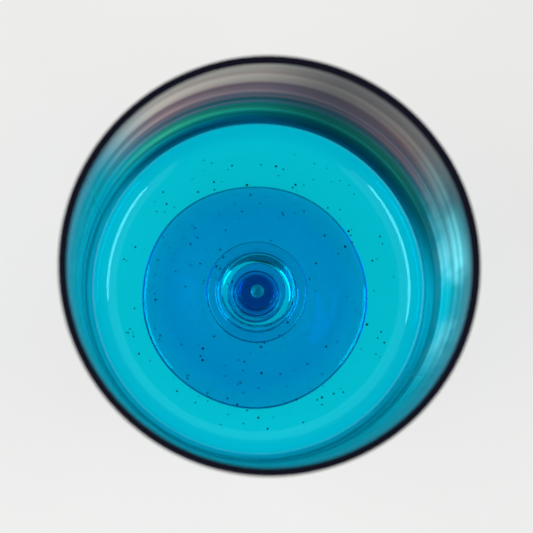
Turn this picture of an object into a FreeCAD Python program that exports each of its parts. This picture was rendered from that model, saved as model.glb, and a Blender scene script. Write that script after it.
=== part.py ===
"""Footed glass goblet, made of four pieces of glass fused end to end.

Frame: millimetres, +Z up, origin at the centre of the resting plane under the foot, Z the axis of revolution.
From the table up, the pieces are the foot, the stem, the merese (a disc with a neck that widens to take the
bowl) and the bowl. Each is its own closed solid. A joint is a flat disc of contact, where the hot glass of one
piece was stuck to the next. A round bubble is trapped inside the merese.
"""

import FreeCAD
import Part

import math
import os

# ---------------------------------------------------------------- driving dimensions
RIM_DIAMETER = 84.0  # over the outside of the lip
OVERALL_HEIGHT = 83.0  # table to the top of the lip
BOWL_DEPTH = 60.0  # lip to the flat inside floor
FOOT_DIAMETER = 52.8  # over the rounded edge of the foot

LIP_THICKNESS = 1.7  # fire-polished to a full round
WALL_DRAFT = 1.6  # the inside wall leans out by this much from heel to lip
HEEL_WALL = 2.2  # wall thickness where it meets the heel
FLOOR_THICKNESS = 3.4
HEEL_REACH = 7.5  # the inside heel is a quarter ellipse, this wide
HEEL_RISE = 10.0  # and this tall
HEEL_OUTSIDE_RADIUS = 7.0
FLOOR_SAG = 0.35  # the blown floor hangs lower by this much outside the merese

MERESE_DIAMETER = 23.2  # over the rounded edge of its disc
MERESE_HEIGHT = 8.0
MERESE_TOP_JOINT = 17.0  # diameter of the fused disc under the bowl
CONE_DIAMETER = 12.6  # lower end of the cone that carries the bowl
CONE_HEIGHT = 2.7  # from there up to the bowl
NECK_DIAMETER = 12.3  # between the cone and the disc
NECK_FILLET = 1.2
DISC_EDGE_RADIUS = 1.5
DISC_WEB = 1.0  # thickness of the disc between its edge and the neck
BUBBLE_DIAMETER = 3.0
BUBBLE_HEIGHT = 2.6  # centre of the bubble above the stem

STEM_WAIST = 7.4  # narrowest diameter of the solid stem
STEM_TOP_JOINT = 7.6  # diameter of the fused disc between merese and stem
STEM_FOOT_JOINT = 9.2  # diameter of the fused disc between stem and foot
STEM_HEIGHT = 4.6

FOOT_EDGE = 2.6  # thickness at the rounded edge
FOOT_BOSS_HEIGHT = 7.0  # top of the foot, where the stem starts
FOOT_PLATEAU = (5.6, 6.25)  # radius and height where the flare into the stem begins
FOOT_SLOPE = (14.4, 5.0)  # radius and height halfway down the steeper part of the top
REST_RING_OUTSIDE = 49.6  # the flat ring that touches the table
REST_RING_INSIDE = 40.0
UNDER_SLOPE = (13.2, 2.1)  # radius and height halfway up the hollow underside
PONTIL_DIAMETER = 11.0  # ground spot where the pontil iron was broken off
PONTIL_EDGE_HEIGHT = 3.0
PONTIL_HEIGHT = 3.35  # highest point of the hollow, on the axis

# ---------------------------------------------------------------- levels worked out from them
FLOOR_INSIDE_Z = OVERALL_HEIGHT - BOWL_DEPTH
FLOOR_UNDER_Z = FLOOR_INSIDE_Z - FLOOR_THICKNESS
MERESE_UNDER_Z = FLOOR_UNDER_Z - MERESE_HEIGHT
CONE_Z = FLOOR_UNDER_Z - CONE_HEIGHT
DISC_Z = MERESE_UNDER_Z + DISC_EDGE_RADIUS
LIP_OUTSIDE = RIM_DIAMETER / 2
LIP_INSIDE = LIP_OUTSIDE - LIP_THICKNESS
HEEL_INSIDE = LIP_INSIDE - WALL_DRAFT
HEEL_OUTSIDE = HEEL_INSIDE + HEEL_WALL

Z_AXIS = FreeCAD.Vector(0, 0, 1)
ORIGIN = FreeCAD.Vector(0, 0, 0)


def point(radius, z):
    """A point of a profile, in the half plane of +X."""
    return FreeCAD.Vector(radius, 0, z)


def line(start, end):
    return Part.LineSegment(point(*start), point(*end)).toShape()


def arc(centre, radius, start_deg, end_deg):
    """A circular arc of a profile, by its angles from the +X direction."""
    places = []
    for degrees in (start_deg, (start_deg + end_deg) / 2, end_deg):
        turn = math.radians(degrees)
        places.append(point(centre[0] + radius * math.cos(turn), centre[1] + radius * math.sin(turn)))
    return Part.Arc(*places).toShape()


def heel_curve(flat_end, wall_start):
    """The quarter ellipse of the inside heel, from the floor up to the wall."""
    centre = point(flat_end[0], wall_start[1])
    top = point(flat_end[0], wall_start[1] + HEEL_RISE)
    side = point(*wall_start)
    ellipse = Part.Ellipse(top, side, centre)
    start = ellipse.parameter(point(*flat_end))
    end = ellipse.parameter(side)
    if end < start:
        end += 2 * math.pi
    if end - start > math.pi:
        start, end = end, start + 2 * math.pi
    return Part.ArcOfEllipse(ellipse, start, end).toShape()


def curve(places, start_slope, end_slope):
    """A smooth curve through places, with its slope given as (radial, axial) at both ends."""
    spline = Part.BSplineCurve()
    spline.interpolate(
        Points=[point(*p) for p in places],
        InitialTangent=point(*start_slope),
        FinalTangent=point(*end_slope),
    )
    return spline.toShape()


def turned(edges):
    """A closed solid from a closed profile turned a full circle about Z."""
    wire = Part.Wire(Part.sortEdges(edges)[0])
    if not wire.isClosed():
        raise ValueError("the profile isn't closed")
    solid = Part.Face(wire).revolve(ORIGIN, Z_AXIS, 360)
    if solid.Volume < 0:
        solid.reverse()
    return solid.removeSplitter()


def bowl():
    """Straight-sided bowl: flat floor, oval heel, nearly upright wall and a full-round lip."""
    joint = MERESE_TOP_JOINT / 2
    lip_radius = LIP_THICKNESS / 2
    lip_z = OVERALL_HEIGHT - lip_radius
    flat_inside = HEEL_INSIDE - HEEL_REACH
    flat_outside = HEEL_OUTSIDE - HEEL_OUTSIDE_RADIUS
    heel_top = FLOOR_INSIDE_Z + HEEL_RISE
    sagged_z = FLOOR_UNDER_Z - FLOOR_SAG
    heel_centre_z = sagged_z + HEEL_OUTSIDE_RADIUS
    sag_ends = (joint + flat_outside) / 2
    edges = [
        line((0, FLOOR_UNDER_Z), (0, FLOOR_INSIDE_Z)),
        line((0, FLOOR_INSIDE_Z), (flat_inside, FLOOR_INSIDE_Z)),
        heel_curve((flat_inside, FLOOR_INSIDE_Z), (HEEL_INSIDE, heel_top)),
        line((HEEL_INSIDE, heel_top), (LIP_INSIDE, lip_z)),
        arc((LIP_INSIDE + lip_radius, lip_z), lip_radius, 180, 0),
        line((LIP_OUTSIDE, lip_z), (HEEL_OUTSIDE, heel_centre_z)),
        arc((flat_outside, heel_centre_z), HEEL_OUTSIDE_RADIUS, 0, -90),
        line((flat_outside, sagged_z), (sag_ends, sagged_z)),
        curve([(sag_ends, sagged_z), (joint, FLOOR_UNDER_Z)], (-12, 0), (-12, 0)),
        line((joint, FLOOR_UNDER_Z), (0, FLOOR_UNDER_Z)),
    ]
    return turned(edges)


def merese():
    """A disc with a rounded edge, a short neck and a cone that widens to the bowl, with a bubble on the axis."""
    bottom = STEM_TOP_JOINT / 2
    top = MERESE_TOP_JOINT / 2
    neck = NECK_DIAMETER / 2
    cone = CONE_DIAMETER / 2
    rim = MERESE_DIAMETER / 2 - DISC_EDGE_RADIUS
    web = rim - DISC_EDGE_RADIUS
    web_top = DISC_Z + DISC_WEB / 2
    web_under = DISC_Z - DISC_WEB / 2
    edge_top = DISC_Z + DISC_EDGE_RADIUS
    fillet_z = web_top + NECK_FILLET
    cone_starts = (neck, CONE_Z - 0.3)
    side_z = FLOOR_UNDER_Z - 0.2
    edges = [
        line((0, MERESE_UNDER_Z), (0, FLOOR_UNDER_Z)),
        line((0, MERESE_UNDER_Z), (bottom, MERESE_UNDER_Z)),
        curve([(bottom, MERESE_UNDER_Z), (web, web_under)], (1, 0.3), (3, 0)),
        curve([(web, web_under), (rim, MERESE_UNDER_Z)], (1.2, 0), (1.2, 0)),
        arc((rim, DISC_Z), DISC_EDGE_RADIUS, -90, 90),
        curve([(rim, edge_top), (web, web_top)], (-1.2, 0), (-1.2, 0)),
        line((web, web_top), (neck + NECK_FILLET, web_top)),
        arc((neck + NECK_FILLET, fillet_z), NECK_FILLET, -90, -180),
        line((neck, fillet_z), cone_starts),
        curve([cone_starts, (cone, CONE_Z)], (0, 0.3), (0.2, 0.22)),
        line((cone, CONE_Z), (top, side_z)),
        line((top, side_z), (top, FLOOR_UNDER_Z)),
        line((top, FLOOR_UNDER_Z), (0, FLOOR_UNDER_Z)),
    ]
    bubble = Part.makeSphere(BUBBLE_DIAMETER / 2, point(0, MERESE_UNDER_Z + BUBBLE_HEIGHT))
    return turned(edges).cut(bubble).Solids[0]


def stem():
    """Short solid stem, a little waisted, that spreads to its joint with the foot."""
    top = STEM_TOP_JOINT / 2
    bottom = STEM_FOOT_JOINT / 2
    top_z = FOOT_BOSS_HEIGHT + STEM_HEIGHT
    waist = (STEM_WAIST / 2, FOOT_BOSS_HEIGHT + STEM_HEIGHT * 0.52)
    edges = [
        line((0, FOOT_BOSS_HEIGHT), (0, top_z)),
        line((0, top_z), (top, top_z)),
        curve([(top, top_z), waist, (bottom, FOOT_BOSS_HEIGHT)], (-0.4, -2.0), (1.6, -2.0)),
        line((bottom, FOOT_BOSS_HEIGHT), (0, FOOT_BOSS_HEIGHT)),
    ]
    return turned(edges)


def foot():
    """Round domed foot of nearly even thickness: rounded edge, flat rest ring, and a pontil mark in its hollow."""
    edge = FOOT_DIAMETER / 2
    edge_radius = FOOT_EDGE / 2
    boss = (STEM_FOOT_JOINT / 2, FOOT_BOSS_HEIGHT)
    top_of_edge = (edge - edge_radius, FOOT_EDGE)
    rest_out = (REST_RING_OUTSIDE / 2, 0)
    rest_in = (REST_RING_INSIDE / 2, 0)
    pontil = (PONTIL_DIAMETER / 2, PONTIL_EDGE_HEIGHT)
    crown = (0, PONTIL_HEIGHT)
    edges = [
        line(crown, (0, FOOT_BOSS_HEIGHT)),
        line((0, FOOT_BOSS_HEIGHT), boss),
        curve([boss, FOOT_PLATEAU], (0.4, -1.2), (1.2, -0.03)),
        curve([FOOT_PLATEAU, FOOT_SLOPE], (4.0, -0.1), (5.0, -1.9)),
        curve([FOOT_SLOPE, top_of_edge], (5.0, -1.9), (9.0, -0.5)),
        arc((top_of_edge[0], edge_radius), edge_radius, 90, 0),
        curve([(edge, edge_radius), rest_out], (0, -2.0), (-2.0, -0.1)),
        line(rest_out, rest_in),
        curve([rest_in, UNDER_SLOPE], (-5.0, 0.9), (-4.0, 1.6)),
        curve([UNDER_SLOPE, pontil], (-4.0, 1.6), (-6.0, 0)),
        curve([pontil, crown], (-3.0, 0.5), (-3.0, 0)),
    ]
    return turned(edges)


PIECES = {
    "bowl": bowl,
    "merese": merese,
    "stem": stem,
    "foot": foot,
}

os.makedirs("parts", exist_ok=True)
for name, build in PIECES.items():
    solid = build()
    if not solid.isValid():
        raise ValueError(f"{name} isn't a valid solid")
    solid.exportStep(f"parts/{name}.step")
    print(name, solid.ShapeType, round(solid.Volume / 1000, 2), "cm3")
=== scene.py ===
import math

import bmesh
import bpy
import numpy as np
from mathutils import Matrix, Vector


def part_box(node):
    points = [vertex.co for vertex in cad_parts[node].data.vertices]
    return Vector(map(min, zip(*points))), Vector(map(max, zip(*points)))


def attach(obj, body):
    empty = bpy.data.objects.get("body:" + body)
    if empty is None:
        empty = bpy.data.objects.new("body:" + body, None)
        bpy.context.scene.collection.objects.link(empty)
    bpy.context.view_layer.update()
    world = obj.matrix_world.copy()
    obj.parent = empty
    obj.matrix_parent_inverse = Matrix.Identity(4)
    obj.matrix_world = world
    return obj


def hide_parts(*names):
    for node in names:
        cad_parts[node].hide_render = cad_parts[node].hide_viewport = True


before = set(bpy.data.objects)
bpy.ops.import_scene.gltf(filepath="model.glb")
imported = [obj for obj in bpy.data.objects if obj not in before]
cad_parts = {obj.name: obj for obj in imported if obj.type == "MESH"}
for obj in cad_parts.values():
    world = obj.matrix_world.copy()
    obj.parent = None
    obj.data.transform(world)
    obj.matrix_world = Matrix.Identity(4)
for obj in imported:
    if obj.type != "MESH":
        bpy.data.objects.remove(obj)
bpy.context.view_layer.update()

MM = 0.001

# ---------------------------------------------------------------- the frame's sizes, in metres
BOWL_LOW, BOWL_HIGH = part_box("bowl")
MERESE_LOW, MERESE_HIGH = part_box("merese")
STEM_LOW, STEM_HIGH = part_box("stem")
FOOT_LOW, FOOT_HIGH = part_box("foot")

RIM = BOWL_HIGH.x
LIP_Z = BOWL_HIGH.z
FLOOR_UNDER_Z = MERESE_HIGH.z
SAGGED_Z = BOWL_LOW.z
LIP_WALL = 1.7 * MM
HEEL_WALL = 2.2 * MM
WALL_DRAFT = 1.6 * MM
FLOOR_WALL = 3.4 * MM
FLOOR_Z = FLOOR_UNDER_Z + FLOOR_WALL
HEEL_REACH = 7.5 * MM  # the inside heel is a quarter ellipse, this wide
HEEL_RISE = 10.0 * MM  # and this tall
HEEL_OUTSIDE = 7.0 * MM
MERESE_JOINT = 8.5 * MM
CONE_FOOT = (6.3 * MM, 16.9 * MM)  # where the cone under the bowl meets the neck
NECK = 6.15 * MM
NECK_ROUND = 1.2 * MM
DISC_Z = 13.1 * MM
DISC_EDGE = 1.5 * MM  # radius of the merese's rounded edge
DISC_WEB = 0.5 * MM  # half the thickness between the edge and the neck
STEM_TOP_JOINT = 3.8 * MM
STEM_FOOT_JOINT = 4.6 * MM
STEM_WAIST = 3.7 * MM
FOOT_EDGE = 2.6 * MM
FOOT_PLATEAU = (5.6 * MM, 6.25 * MM)
FOOT_SLOPE = (14.4 * MM, 5.0 * MM)
REST_OUTSIDE = 24.8 * MM
REST_INSIDE = 20.0 * MM
UNDER_SLOPE = (13.2 * MM, 2.1 * MM)
PONTIL = (5.5 * MM, 3.0 * MM)
PONTIL_TOP = 3.35 * MM
BUBBLE_Z = 14.2 * MM
BUBBLE = 1.5 * MM
FUSED = 0.2 * MM  # how far one piece's glass runs into the next at a fused joint

SEGMENTS = 192  # round every turned piece
BOWL_SEEDS = 240
FOOT_SEEDS = 30
RANDOM = np.random.default_rng(7)

# ---------------------------------------------------------------- camera, at the photograph's angle
CAMERA_DISTANCE = 0.465  # from the middle of the lip
CAMERA_LEAN = math.radians(5.95)  # off the goblet's axis
CAMERA_SIDE = Vector((-0.43, -0.90)).normalized()
CAMERA_AIM = Vector((-0.76 * MM, -0.52 * MM, 0.0))  # from the middle of the lip
CAMERA_LENS = 158.6
CAMERA_FSTOP = 18.0

# ---------------------------------------------------------------- the room's light, as radiance
AMBIENT = 0.85
PERSON = 0.985  # how much of that light the person at the camera hides
SOFTBOXES = ((-12, 0.30), (190, 0.42))  # azimuth in degrees, width in metres
SOFTBOX_HEIGHT = 0.50
SOFTBOX_DISTANCE = 0.36
SOFTBOX_RADIANCE = 7.5
CLOTH = (0.14, 0.34, 0.17)  # half width, height and distance of the dark cloth in front
TABLE_PAINTED_GLOW = 0.9  # share of the table's brightness that it gives off itself: a painted glow, though it is no lamp, that fills in the shade under the glass
FILM = 0.95  # the iridescent film's strongest cover


# ---------------------------------------------------------------- outlines, as (radius, height) points
def stretch(start, end, count):
    """Points along a straight line, without its end."""
    return [tuple(Vector(start).lerp(Vector(end), i / count)) for i in range(count)]


def bend(centre, radius, start_deg, end_deg, count):
    """Points along an arc, without its end."""
    turns = [math.radians(start_deg + (end_deg - start_deg) * i / count) for i in range(count)]
    return [(centre[0] + radius * math.cos(t), centre[1] + radius * math.sin(t)) for t in turns]


def oval(centre, across, up, start_deg, end_deg, count):
    """Points along an ellipse with upright axes, without its end."""
    turns = [math.radians(start_deg + (end_deg - start_deg) * i / count) for i in range(count)]
    return [(centre[0] + across * math.cos(t), centre[1] + up * math.sin(t)) for t in turns]


def sweep(start, start_slope, end, end_slope, count):
    """Points along a cubic with the given slopes at its ends, without its end."""
    places = []
    for i in range(count):
        t = i / count
        a = 2 * t**3 - 3 * t**2 + 1
        b = t**3 - 2 * t**2 + t
        c = -2 * t**3 + 3 * t**2
        d = t**3 - t**2
        terms = zip(start, start_slope, end, end_slope)
        places.append(tuple(a * p + b * m + c * q + d * n for p, m, q, n in terms))
    return places


def bowl_outline():
    lip_middle = RIM - LIP_WALL / 2
    lip_z = LIP_Z - LIP_WALL / 2
    inside = RIM - LIP_WALL - WALL_DRAFT
    outside = inside + HEEL_WALL
    flat_in = inside - HEEL_REACH
    flat_out = outside - HEEL_OUTSIDE
    sag_ends = (MERESE_JOINT + flat_out) / 2
    return (
        stretch((0, FLOOR_Z), (flat_in, FLOOR_Z), 60)
        + oval((flat_in, FLOOR_Z + HEEL_RISE), HEEL_REACH, HEEL_RISE, -90, 0, 60)
        + stretch((inside, FLOOR_Z + HEEL_RISE), (RIM - LIP_WALL, lip_z), 100)
        + bend((lip_middle, lip_z), LIP_WALL / 2, 180, 0, 24)
        + stretch((RIM, lip_z), (outside, SAGGED_Z + HEEL_OUTSIDE), 110)
        + bend((flat_out, SAGGED_Z + HEEL_OUTSIDE), HEEL_OUTSIDE, 0, -90, 32)
        + stretch((flat_out, SAGGED_Z), (sag_ends, SAGGED_Z), 24)
        + sweep((sag_ends, SAGGED_Z), (-12 * MM, 0), (MERESE_JOINT, FLOOR_UNDER_Z), (-12 * MM, 0), 24)
        + stretch((MERESE_JOINT, FLOOR_UNDER_Z), (0, FLOOR_UNDER_Z), 12)
        + [(0, FLOOR_UNDER_Z)]
    )


def merese_outline():
    low, top = MERESE_LOW.z, FLOOR_UNDER_Z
    side = (MERESE_JOINT, top - 0.2 * MM)
    run = Vector(side) - Vector(CONE_FOOT)
    rim = MERESE_HIGH.x - DISC_EDGE
    web = rim - DISC_EDGE
    web_top = DISC_Z + DISC_WEB
    return (
        stretch((0, low), (STEM_TOP_JOINT, low), 8)
        + sweep((STEM_TOP_JOINT, low), (1 * MM, 0.3 * MM), (web, DISC_Z - DISC_WEB), (3 * MM, 0), 24)
        + sweep((web, DISC_Z - DISC_WEB), (1.2 * MM, 0), (rim, DISC_Z - DISC_EDGE), (1.2 * MM, 0), 10)
        + bend((rim, DISC_Z), DISC_EDGE, -90, 90, 24)
        + sweep((rim, DISC_Z + DISC_EDGE), (-1.2 * MM, 0), (web, web_top), (-1.2 * MM, 0), 10)
        + stretch((web, web_top), (NECK + NECK_ROUND, web_top), 8)
        + bend((NECK + NECK_ROUND, web_top + NECK_ROUND), NECK_ROUND, -90, -180, 16)
        + stretch((NECK, web_top + NECK_ROUND), (NECK, CONE_FOOT[1] - 0.3 * MM), 8)
        + sweep((NECK, CONE_FOOT[1] - 0.3 * MM), (0, 0.3 * MM), CONE_FOOT, (0.2 * MM, 0.22 * MM), 6)
        + sweep(CONE_FOOT, run * 1.03, side, run * 0.97, 24)
        + stretch(side, (MERESE_JOINT, top + FUSED), 4)
        + stretch((MERESE_JOINT, top + FUSED), (0, top + FUSED), 12)
        + [(0, top + FUSED)]
    )


def bubble_outline():
    return bend((0, BUBBLE_Z), BUBBLE, -90, 90, 24) + [(0, BUBBLE_Z + BUBBLE)]


def stem_outline():
    top = MERESE_LOW.z
    bottom = FOOT_HIGH.z
    waist = (STEM_WAIST, bottom + (top - bottom) * 0.52)
    return (
        stretch((0, bottom - FUSED), (STEM_FOOT_JOINT, bottom - FUSED), 8)
        + stretch((STEM_FOOT_JOINT, bottom - FUSED), (STEM_FOOT_JOINT, bottom), 2)
        + sweep((STEM_FOOT_JOINT, bottom), (-1.6 * MM, 2.0 * MM), waist, (0, 2 * MM), 36)
        + sweep(waist, (0, 2 * MM), (STEM_TOP_JOINT, top), (1.6 * MM, 1.4 * MM), 32)
        + stretch((STEM_TOP_JOINT, top), (STEM_TOP_JOINT, top + FUSED), 2)
        + stretch((STEM_TOP_JOINT, top + FUSED), (0, top + FUSED), 8)
        + [(0, top + FUSED)]
    )


def foot_outline():
    top_of_edge = FOOT_HIGH.x - FOOT_EDGE / 2
    boss = (STEM_FOOT_JOINT, FOOT_HIGH.z)
    return (
        sweep((0, PONTIL_TOP), (3 * MM, 0), PONTIL, (3 * MM, -0.5 * MM), 14)
        + sweep(PONTIL, (6 * MM, 0), UNDER_SLOPE, (4 * MM, -1.6 * MM), 24)
        + sweep(UNDER_SLOPE, (4 * MM, -1.6 * MM), (REST_INSIDE, 0), (5 * MM, -0.9 * MM), 24)
        + stretch((REST_INSIDE, 0), (REST_OUTSIDE, 0), 12)
        + sweep((REST_OUTSIDE, 0), (2 * MM, 0.1 * MM), (FOOT_HIGH.x, FOOT_EDGE / 2), (0, 2 * MM), 20)
        + bend((top_of_edge, FOOT_EDGE / 2), FOOT_EDGE / 2, 0, 90, 20)
        + sweep((top_of_edge, FOOT_EDGE), (-9 * MM, 0.5 * MM), FOOT_SLOPE, (-5 * MM, 1.9 * MM), 50)
        + sweep(FOOT_SLOPE, (-5 * MM, 1.9 * MM), FOOT_PLATEAU, (-4 * MM, 0.1 * MM), 30)
        + sweep(FOOT_PLATEAU, (-1.2 * MM, 0.03 * MM), boss, (-0.4 * MM, 1.2 * MM), 14)
        + stretch(boss, (0, FOOT_HIGH.z), 8)
        + [(0, FOOT_HIGH.z)]
    )


# ---------------------------------------------------------------- hand-made unevenness
def uneven(orders, amplitude):
    """A smooth periodic function of the angle, within plus and minus amplitude."""
    phases = RANDOM.uniform(0, 2 * math.pi, len(orders))
    shares = RANDOM.uniform(0.5, 1.0, len(orders))
    shares = shares / shares.sum() * amplitude

    def height(angle):
        return sum(s * np.cos(k * angle + p) for s, k, p in zip(shares, orders, phases))

    return height


def blown_wall():
    """Moves a bowl's points a little, as blowing leaves it: rings round the wall, a lip not quite level."""
    level = uneven((1, 2, 3), 0.16 * MM)
    thick = uneven((1, 2, 5), 0.10 * MM)
    rings = [
        (RANDOM.uniform(2.2, 9.0) * MM, RANDOM.uniform(0, 2 * math.pi), RANDOM.integers(-2, 3))
        for _ in range(7)
    ]
    under = uneven((1, 2, 4), 0.06 * MM)

    def move(r, z, angle):
        up = np.clip((z - FLOOR_Z - HEEL_RISE) / (LIP_Z - FLOOR_Z - HEEL_RISE), 0, 1)
        on_wall = (r > RIM - 4 * MM) & (z > FLOOR_Z)
        inner = on_wall & (r < RIM - LIP_WALL / 2)
        ripple = sum(np.sin(2 * math.pi * z / w + p + k * angle) for w, p, k in rings) * 0.011 * MM
        calm = np.clip(up * 8, 0, 1) * np.clip((1 - up) * 12, 0, 1)
        r = r - np.where(inner, (ripple + thick(angle) - 0.05 * MM) * calm, 0)
        r = r - np.where(on_wall & ~inner, (ripple * 0.6 + 0.08 * MM) * calm, 0)
        z = z - (level(angle) + 0.16 * MM) * up**3
        below = (z < FLOOR_UNDER_Z + 1.5 * MM) & (r > MERESE_JOINT)
        z = z + np.where(below, (under(angle) + 0.06 * MM) * np.clip((r - MERESE_JOINT) / (6 * MM), 0, 1), 0)
        return r, z

    return move


def spun_foot():
    """Moves a foot's points a little: its outline isn't quite round, and its top rolls gently."""
    outline = uneven((1, 2, 3, 5), 0.40 * MM)
    roll = uneven((1, 2, 3, 5), 0.10 * MM)

    def move(r, z, angle):
        out = np.clip((r - FOOT_PLATEAU[0]) / (FOOT_HIGH.x - FOOT_PLATEAU[0]), 0, 1)
        top = (r > FOOT_PLATEAU[0]) & (z > 4.6 * MM - 0.159 * (r - FOOT_PLATEAU[0]))
        ease = np.sin(out * math.pi)
        return r + (outline(angle) - 0.40 * MM) * out**2, z + np.where(top, roll(angle) * ease, 0)

    return move


# ---------------------------------------------------------------- meshes
def turned(name, outline, move=None):
    """A closed mesh made by turning an outline, from axis to axis, about Z."""
    places = np.array(outline)
    angle = np.arange(SEGMENTS) * 2 * math.pi / SEGMENTS
    r = np.repeat(places[1:-1, 0:1], SEGMENTS, axis=1)
    z = np.repeat(places[1:-1, 1:2], SEGMENTS, axis=1)
    turn = np.repeat(angle[None, :], len(r), axis=0)
    if move is not None:
        r, z = move(r, z, turn)
    rings = np.stack((r * np.cos(turn), r * np.sin(turn), z), axis=-1).reshape(-1, 3)
    poles = [(0, 0, places[0, 1]), (0, 0, places[-1, 1])]
    verts = np.vstack((rings, poles))
    first, last = len(rings), len(rings) + 1
    faces = []
    for i in range(len(r) - 1):
        a = i * SEGMENTS
        b = a + SEGMENTS
        for j in range(SEGMENTS):
            k = (j + 1) % SEGMENTS
            faces.append((a + j, a + k, b + k, b + j))
    top = (len(r) - 1) * SEGMENTS
    for j in range(SEGMENTS):
        k = (j + 1) % SEGMENTS
        faces.append((first, k, j))
        faces.append((last, top + j, top + k))
    mesh = bpy.data.meshes.new(name)
    mesh.from_pydata(verts.tolist(), [], faces)
    mesh.validate()
    if mesh_volume(mesh) < 0:
        mesh.flip_normals()
    mesh.shade_smooth()
    piece = bpy.data.objects.new(name, mesh)
    bpy.context.scene.collection.objects.link(piece)
    return piece


def seeds(name, places, sizes):
    """Small round bubbles, all in one mesh."""
    ball = bmesh.new()
    bmesh.ops.create_icosphere(ball, subdivisions=2, radius=1)
    ball.verts.index_update()
    corners = np.array([corner.co for corner in ball.verts])
    faces = np.array([[corner.index for corner in face.verts] for face in ball.faces])
    ball.free()
    verts = np.array(places)[:, None, :] + np.array(sizes)[:, None, None] * corners
    skins = faces + (np.arange(len(places)) * len(corners))[:, None, None]
    mesh = bpy.data.meshes.new(name)
    mesh.from_pydata(verts.reshape(-1, 3).tolist(), [], skins.reshape(-1, 3).tolist())
    mesh.shade_smooth()
    piece = bpy.data.objects.new(name, mesh)
    bpy.context.scene.collection.objects.link(piece)
    return piece


def scattered(count, inner, outer, low, high):
    """Places spread evenly over a ring, between two heights."""
    radius = np.sqrt(RANDOM.uniform(inner**2, outer**2, count))
    angle = RANDOM.uniform(0, 2 * math.pi, count)
    height = RANDOM.uniform(low, high, count)
    return np.stack((radius * np.cos(angle), radius * np.sin(angle), height), axis=1).tolist()


def mesh_volume(mesh):
    """Signed volume: negative when the faces look inwards."""
    co = np.zeros(len(mesh.vertices) * 3)
    mesh.vertices.foreach_get("co", co)
    co = co.reshape(-1, 3)
    mesh.calc_loop_triangles()
    tri = np.zeros(len(mesh.loop_triangles) * 3, int)
    mesh.loop_triangles.foreach_get("vertices", tri)
    a, b, c = co[tri.reshape(-1, 3)].transpose(1, 0, 2)
    return float(np.einsum("ij,ij->i", a, np.cross(b, c)).sum() / 6)


# ---------------------------------------------------------------- node helpers
def wire(tree, value, socket):
    """Feeds a socket from another one, or sets it to a plain value."""
    if isinstance(value, bpy.types.NodeSocket):
        tree.links.new(value, socket)
    else:
        socket.default_value = value


def node(tree, kind, inputs=None, **settings):
    """A new shader node with its settings and inputs."""
    made = tree.nodes.new("ShaderNode" + kind)
    for key, value in settings.items():
        setattr(made, key, value)
    for key, value in (inputs or {}).items():
        wire(tree, value, made.inputs[key])
    return made


def maths(tree, operation, *terms, clamp=False):
    made = node(tree, "Math", operation=operation, use_clamp=clamp)
    for term, socket in zip(terms, made.inputs):
        wire(tree, term, socket)
    return made.outputs[0]


def eased(tree, value, low, high):
    """0 below low, 1 above high, smooth between. It falls instead when low is above high."""
    made = node(
        tree,
        "MapRange",
        {"Value": value, "From Min": low, "From Max": high},
        interpolation_type="SMOOTHSTEP",
    )
    return made.outputs["Result"]


def blended(tree, share, first, second):
    made = node(tree, "Mix", data_type="RGBA")
    wire(tree, share, made.inputs[0])
    wire(tree, first, made.inputs[6])
    wire(tree, second, made.inputs[7])
    return made.outputs[2]


def ramp(tree, value, stops):
    """A colour ramp with (place, colour) stops."""
    made = node(tree, "ValToRGB", {"Fac": value})
    elements = made.color_ramp.elements
    while len(elements) < len(stops):
        elements.new(0.5)
    for element, (place, colour) in zip(elements, stops):
        element.position = place
        element.color = (*colour, 1)
    return made.outputs["Color"]


def new_material(name):
    material = bpy.data.materials.new(name)
    material.use_nodes = True
    tree = material.node_tree
    tree.nodes.clear()
    return material, tree


def glass_body(tree, inputs, absorb):
    """A Principled glass with an even absorption inside, given per metre for red, green and blue."""
    shader = node(tree, "BsdfPrincipled", {"IOR": 1.5, "Transmission Weight": 1.0, **inputs})
    densest = max(absorb)
    inside = node(
        tree,
        "VolumeAbsorption",
        {"Color": (*(1 - a / densest for a in absorb), 1), "Density": densest},
    )
    out = node(tree, "OutputMaterial")
    tree.links.new(shader.outputs[0], out.inputs["Surface"])
    tree.links.new(inside.outputs[0], out.inputs["Volume"])
    return shader


# ---------------------------------------------------------------- materials
FILM_MIDDLE = math.radians(62)  # directions round the wall: where the film covers most
FILM_WARM = math.radians(82)  # where its colours are warm
FILM_PAINTED_SHADE = math.radians(46)  # where shade is painted into its colours, darkening them
FILM_PAINTED_GLINT = math.radians(12)  # where a bright streaky highlight is painted into its colour
FILM_REFLECTION = (0.22, 0.86, 0.96, 1)
# painted shade: the lip's opaque dark colour
PAINTED_LIP_SHADE = (0.004, 0.004, 0.008, 1)
TURQUOISE = (1800, 112, 52)  # absorption per metre, for red, green and blue
PALE = (300, 22, 8)
BLUE = (1700, 172, 18)
DEEP = (1700, 310, 150)


def noise(tree, place, scale, detail):
    """Noise between 0 and 1, stretched by its three scales."""
    mapped = node(tree, "Mapping", {"Vector": place, "Scale": scale}).outputs[0]
    return node(tree, "TexNoise", {"Vector": mapped, "Scale": 1.0, "Detail": detail}).outputs["Fac"]


def spread(tree, value, amount):
    """Noise about zero, of that amount."""
    return maths(tree, "MULTIPLY", maths(tree, "SUBTRACT", value, 0.5), amount)


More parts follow.
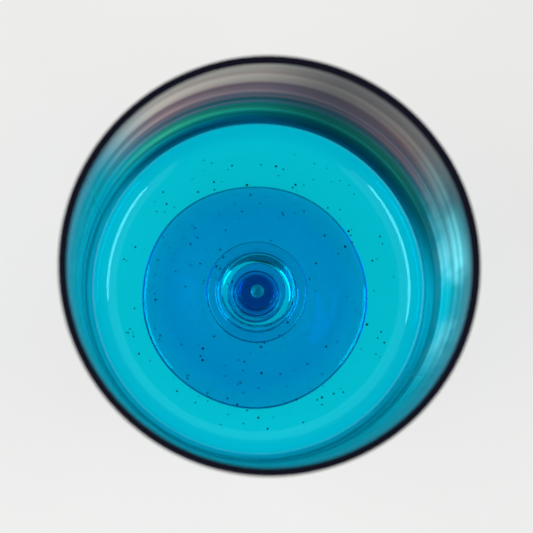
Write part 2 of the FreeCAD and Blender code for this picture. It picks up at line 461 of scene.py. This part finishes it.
def turquoise_glass():
    """Clear turquoise glass under an iridescent film that covers fully at the lip, with painted shade there
    making the lip dark, and a painted dark band where the wall rises from the floor.
    """
    material, tree = new_material("turquoise_glass")
    place = node(tree, "TexCoord").outputs["Object"]
    x, y, z = node(tree, "SeparateXYZ", {0: place}).outputs
    up = node(tree, "MapRange", {"Value": z, "From Min": FLOOR_Z, "From Max": LIP_Z}).outputs["Result"]
    around = maths(tree, "ARCTAN2", y, x)
    slant = maths(tree, "ADD", maths(tree, "MULTIPLY", x, 0.06), maths(tree, "MULTIPLY", y, 0.03))
    tilted = maths(tree, "ADD", z, slant)
    rings = node(tree, "CombineXYZ", {"X": x, "Y": y, "Z": tilted}).outputs[0]
    fine = noise(tree, rings, (5, 5, 190), 5.0)
    broad = noise(tree, rings, (5, 5, 70), 2.0)
    ragged = maths(tree, "ADD", spread(tree, fine, 0.75), spread(tree, broad, 0.60))
    level = maths(tree, "ADD", up, maths(tree, "MULTIPLY", ragged, eased(tree, up, 0.10, 0.40)))
    sunny = maths(tree, "COSINE", maths(tree, "SUBTRACT", around, FILM_MIDDLE))
    strength = maths(tree, "ADD", 0.60, maths(tree, "MULTIPLY", eased(tree, sunny, -0.4, 0.4), 0.40))
    cover = maths(tree, "MULTIPLY", maths(tree, "MULTIPLY", eased(tree, up, 0.045, 0.080), strength), FILM)
    # painted shade: near its top the lip turns opaque and dark
    lip = eased(tree, z, LIP_Z - 1.7 * MM, LIP_Z - 1.1 * MM)
    film = maths(tree, "MAXIMUM", cover, lip)
    # the two lowest stops are painted shade: a dark blue band where the wall rises from the floor, on the
    # warm side only
    warm = ramp(
        tree,
        level,
        [
            (0.06, (0.00, 0.17, 0.38)),
            (0.10, (0.00, 0.30, 0.44)),
            (0.14, (0.02, 0.74, 0.55)),
            (0.22, (0.13, 0.82, 0.42)),
            (0.32, (0.03, 0.50, 0.34)),
            (0.42, (0.10, 0.24, 0.26)),
            (0.54, (0.52, 0.22, 0.26)),
            (0.64, (0.62, 0.32, 0.27)),
            (0.78, (0.52, 0.38, 0.31)),
            (0.95, (0.54, 0.46, 0.39)),
        ],
    )
    cool = ramp(
        tree,
        level,
        [
            (0.10, (0.00, 0.60, 0.78)),
            (0.45, (0.00, 0.54, 0.64)),
            (0.72, (0.02, 0.33, 0.40)),
            (0.95, (0.08, 0.15, 0.18)),
        ],
    )
    # painted highlight: streaks of bright reflected light painted into the film's colour on one side, fading
    # towards floor and lip
    glint_streaks = noise(tree, place, (95, 95, 16), 4.0)
    painted_glint = maths(tree, "COSINE", maths(tree, "SUBTRACT", around, FILM_PAINTED_GLINT))
    painted_glint = maths(tree, "MULTIPLY", eased(tree, painted_glint, 0.62, 0.94), eased(tree, glint_streaks, 0.40, 0.62))
    painted_glint = maths(tree, "MULTIPLY", painted_glint, eased(tree, up, 0.10, 0.35))
    painted_glint = maths(tree, "MULTIPLY", painted_glint, eased(tree, up, 1.0, 0.7))
    cool = blended(tree, painted_glint, cool, (0.20, 0.80, 0.88, 1))
    back = eased(tree, maths(tree, "COSINE", maths(tree, "SUBTRACT", around, FILM_WARM)), 0.35, 0.80)
    colours = blended(tree, back, cool, warm)
    # painted shade: the film's colours are darkened on one side of the wall
    painted_shade = eased(tree, maths(tree, "COSINE", maths(tree, "SUBTRACT", around, FILM_PAINTED_SHADE)), 0.66, 0.96)
    tone = maths(tree, "ADD", 0.50, maths(tree, "MULTIPLY", eased(tree, fine, 0.36, 0.64), 0.78))
    tone = maths(tree, "MULTIPLY", tone, maths(tree, "SUBTRACT", 1.0, maths(tree, "MULTIPLY", painted_shade, 0.66)))
    colours = node(tree, "VectorMath", {0: colours, 3: tone}, operation="SCALE").outputs[0]
    colours = blended(tree, lip, colours, PAINTED_LIP_SHADE)
    inputs = {
        "Base Color": blended(tree, eased(tree, film, 0.0, 0.3), (1, 1, 1, 1), colours),
        "Roughness": maths(tree, "MULTIPLY", film, 0.38),
        "Specular IOR Level": maths(tree, "MULTIPLY", maths(tree, "SUBTRACT", 1.0, film), 0.5),
        "Specular Tint": FILM_REFLECTION,
        "Transmission Weight": maths(tree, "SUBTRACT", 1.0, film),
    }
    glass_body(tree, inputs, TURQUOISE)
    return material


def tinted_glass(name, absorb):
    """Clear glass tinted through and through, with faint striae in its skin."""
    material, tree = new_material(name)
    striae = noise(tree, node(tree, "TexCoord").outputs["Object"], (60, 60, 240), 3.0)
    inputs = {
        "Base Color": ramp(tree, striae, [(0.35, (0.94, 0.98, 1.0)), (0.65, (1.0, 1.0, 1.0))]),
        "Roughness": maths(tree, "MULTIPLY", striae, 0.03),
    }
    glass_body(tree, inputs, absorb)
    return material


def milky_glass():
    """The matt, milky skin of the bubble in the merese."""
    material, tree = new_material("milky_glass")
    cloud = noise(tree, node(tree, "TexCoord").outputs["Object"], (700, 700, 700), 2.0)
    colour = ramp(tree, cloud, [(0.3, (0.72, 0.95, 0.98)), (0.7, (0.90, 1.0, 1.0))])
    shader = node(tree, "BsdfPrincipled", {"Base Color": colour, "Roughness": 0.8, "IOR": 1.2})
    out = node(tree, "OutputMaterial")
    tree.links.new(shader.outputs[0], out.inputs["Surface"])
    return material


def seed_painted_shade():
    """Painted shade: the seeds are opaque dark balls standing for the dark outline that an air seed shows in
    the glass around it.
    """
    material, tree = new_material("seed_painted_shade")
    cloud = noise(tree, node(tree, "TexCoord").outputs["Object"], (90, 90, 90), 2.0)
    colour = ramp(tree, cloud, [(0.35, (0.0, 0.06, 0.10)), (0.65, (0.01, 0.22, 0.28))])
    shader = node(tree, "BsdfPrincipled", {"Base Color": colour, "Roughness": 0.6, "IOR": 1.2})
    out = node(tree, "OutputMaterial")
    tree.links.new(shader.outputs[0], out.inputs["Surface"])
    return material


# ---------------------------------------------------------------- the pieces
FLOOR_RING = (4 * MM, 32 * MM)  # where seeds lie in the floor
FLOOR_BAND = (FLOOR_UNDER_Z + 0.6 * MM, FLOOR_Z - 0.4 * MM)
FOOT_RING = (20.5 * MM, 24 * MM)  # and in the foot
FOOT_BAND = (0.7 * MM, 1.9 * MM)


def dressed(piece, material, node_name):
    piece.data.materials.append(material)
    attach(piece, "root")
    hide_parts(node_name)
    return piece


bowl = turned("bowl_glass", bowl_outline(), blown_wall())
merese = turned("merese_glass", merese_outline())
bubble = turned("merese_bubble", bubble_outline())
stem = turned("stem_glass", stem_outline())
foot = turned("foot_glass", foot_outline(), spun_foot())
floor_places = scattered(BOWL_SEEDS, *FLOOR_RING, *FLOOR_BAND)
floor_sizes = RANDOM.lognormal(math.log(0.15), 0.35, BOWL_SEEDS).clip(0.08, 0.28) * MM
foot_places = scattered(FOOT_SEEDS, *FOOT_RING, *FOOT_BAND)
foot_sizes = RANDOM.lognormal(math.log(0.14), 0.3, FOOT_SEEDS).clip(0.08, 0.25) * MM

dressed(bowl, turquoise_glass(), "bowl")
dressed(seeds("bowl_seeds", floor_places, floor_sizes), seed_painted_shade(), "bowl")
dressed(merese, tinted_glass("pale_glass", PALE), "merese")
dressed(bubble, milky_glass(), "merese")
dressed(stem, tinted_glass("deep_blue_glass", DEEP), "stem")
dressed(foot, tinted_glass("blue_glass", BLUE), "foot")
dressed(seeds("foot_seeds", foot_places, foot_sizes), seed_painted_shade(), "foot")


# ---------------------------------------------------------------- stage
def table_top():
    """A wide pale table with a faint unevenness in its tone."""
    mesh = bpy.data.meshes.new("table_top")
    half = 4.0
    corners = [(-half, -half, 0), (half, -half, 0), (half, half, 0), (-half, half, 0)]
    mesh.from_pydata(corners, [], [(0, 1, 2, 3)])
    table = bpy.data.objects.new("table_top", mesh)
    bpy.context.scene.collection.objects.link(table)
    table.location.z = -0.02 * MM
    material, tree = new_material("table_paint")
    place = node(tree, "TexCoord").outputs["Object"]
    tone = node(tree, "TexNoise", {"Vector": place, "Scale": 9.0, "Detail": 3.0}).outputs["Fac"]
    colour = ramp(tree, tone, [(0.3, (0.755, 0.755, 0.745)), (0.7, (0.79, 0.79, 0.78))])
    # painted glow: most of the table's brightness is given off by the table itself, which lifts the shade
    # under the glass
    painted_glow = node(tree, "VectorMath", {0: colour, 3: TABLE_PAINTED_GLOW}, operation="SCALE").outputs[0]
    painted = node(tree, "VectorMath", {0: colour, 3: 1 - TABLE_PAINTED_GLOW}, operation="SCALE").outputs[0]
    inputs = {
        "Base Color": painted,
        "Roughness": 0.9,
        "IOR": 1.2,
        "Emission Color": painted_glow,
        "Emission Strength": 1.0,
    }
    shader = node(tree, "BsdfPrincipled", inputs)
    out = node(tree, "OutputMaterial")
    tree.links.new(shader.outputs[0], out.inputs["Surface"])
    mesh.materials.append(material)


def room_light():
    """A pale room, dimmer at the back, with the dark shape of whoever holds the camera."""
    world = bpy.data.worlds.new("room")
    bpy.context.scene.world = world
    world.use_nodes = True
    tree = world.node_tree
    tree.nodes.clear()
    way = node(tree, "TexCoord").outputs["Generated"]
    x, y, z = node(tree, "SeparateXYZ", {0: way}).outputs
    aside = maths(tree, "ABSOLUTE", maths(tree, "SUBTRACT", x, 0.045))
    aside = maths(tree, "ADD", aside, maths(tree, "MULTIPLY", y, 0.45))
    person = maths(tree, "MULTIPLY", eased(tree, aside, 0.19, 0.10), eased(tree, y, 0.26, 0.18))
    far = maths(tree, "MULTIPLY", eased(tree, y, 0.45, 0.80), eased(tree, z, 0.60, 0.35))
    hidden = maths(tree, "MULTIPLY", person, PERSON)
    level = maths(tree, "MULTIPLY", AMBIENT, maths(tree, "SUBTRACT", 1.0, hidden))
    level = maths(tree, "MULTIPLY", level, maths(tree, "SUBTRACT", 1.0, maths(tree, "MULTIPLY", far, 0.5)))
    seen = node(tree, "Background", {"Color": (0.80, 0.80, 0.79, 1), "Strength": 1.0})
    lit = node(tree, "Background", {"Color": (1.0, 0.995, 0.985, 1), "Strength": level})
    mix = node(tree, "MixShader", {0: node(tree, "LightPath").outputs["Is Camera Ray"]})
    tree.links.new(lit.outputs[0], mix.inputs[1])
    tree.links.new(seen.outputs[0], mix.inputs[2])
    out = node(tree, "OutputWorld")
    tree.links.new(mix.outputs[0], out.inputs["Surface"])


def softboxes():
    """A wide soft light standing on the table on either side."""
    for azimuth, width in SOFTBOXES:
        data = bpy.data.lights.new("softbox", "AREA")
        data.shape = "RECTANGLE"
        data.size = width
        data.size_y = SOFTBOX_HEIGHT
        data.energy = SOFTBOX_RADIANCE * math.pi * width * SOFTBOX_HEIGHT
        box = bpy.data.objects.new("softbox", data)
        bpy.context.scene.collection.objects.link(box)
        turn = math.radians(azimuth)
        side = Vector((math.cos(turn), math.sin(turn), 0))
        box.location = side * SOFTBOX_DISTANCE + Vector((0, 0, SOFTBOX_HEIGHT / 2))
        box.rotation_euler = (-side).to_track_quat("-Z", "Y").to_euler()
        box.visible_camera = False


def dark_cloth():
    """The photographer's clothes: a dark sheet in front, out of the camera's sight."""
    wide, tall, away = CLOTH
    mesh = bpy.data.meshes.new("dark_cloth")
    corners = [(-wide, -away, 0), (wide, -away, 0), (wide, -away, tall), (-wide, -away, tall)]
    mesh.from_pydata(corners, [], [(0, 1, 2, 3)])
    cloth = bpy.data.objects.new("dark_cloth", mesh)
    bpy.context.scene.collection.objects.link(cloth)
    material, tree = new_material("dark_cloth")
    weave = noise(tree, node(tree, "TexCoord").outputs["Object"], (30, 30, 30), 3.0)
    colour = ramp(tree, weave, [(0.42, (0.004, 0.004, 0.005)), (0.62, (0.05, 0.055, 0.06))])
    shader = node(tree, "BsdfPrincipled", {"Base Color": colour, "Roughness": 1.0})
    out = node(tree, "OutputMaterial")
    tree.links.new(shader.outputs[0], out.inputs["Surface"])
    mesh.materials.append(material)
    cloth.visible_camera = False


def matrix_from(right, up, back, place):
    made = Matrix.Identity(4)
    for row in range(3):
        made[row] = (right[row], up[row], back[row], place[row])
    return made


def camera():
    data = bpy.data.cameras.new("camera")
    eye = bpy.data.objects.new("camera", data)
    bpy.context.scene.collection.objects.link(eye)
    middle = Vector((0, 0, LIP_Z))
    sideways = CAMERA_SIDE * math.sin(CAMERA_LEAN)
    eye.location = middle + Vector((sideways.x, sideways.y, math.cos(CAMERA_LEAN))) * CAMERA_DISTANCE
    look = (middle + CAMERA_AIM - eye.location).normalized()
    right = look.cross(Vector((0, 1, 0))).normalized()
    up = right.cross(look)
    eye.matrix_world = matrix_from(right, up, -look, eye.location)
    data.lens = CAMERA_LENS
    data.clip_start = 0.01
    data.clip_end = 20.0
    sharp = bpy.data.objects.new("sharp_at", None)
    bpy.context.scene.collection.objects.link(sharp)
    sharp.location = (0, 0, FLOOR_Z)
    data.dof.use_dof = True
    data.dof.focus_object = sharp
    data.dof.aperture_fstop = CAMERA_FSTOP
    bpy.context.scene.camera = eye


table_top()
room_light()
softboxes()
dark_cloth()
camera()
scene = bpy.context.scene
scene.view_settings.view_transform = "Standard"
scene.cycles.max_bounces = 24
scene.cycles.transmission_bounces = 24
scene.cycles.glossy_bounces = 12
scene.cycles.blur_glossy = 0.2
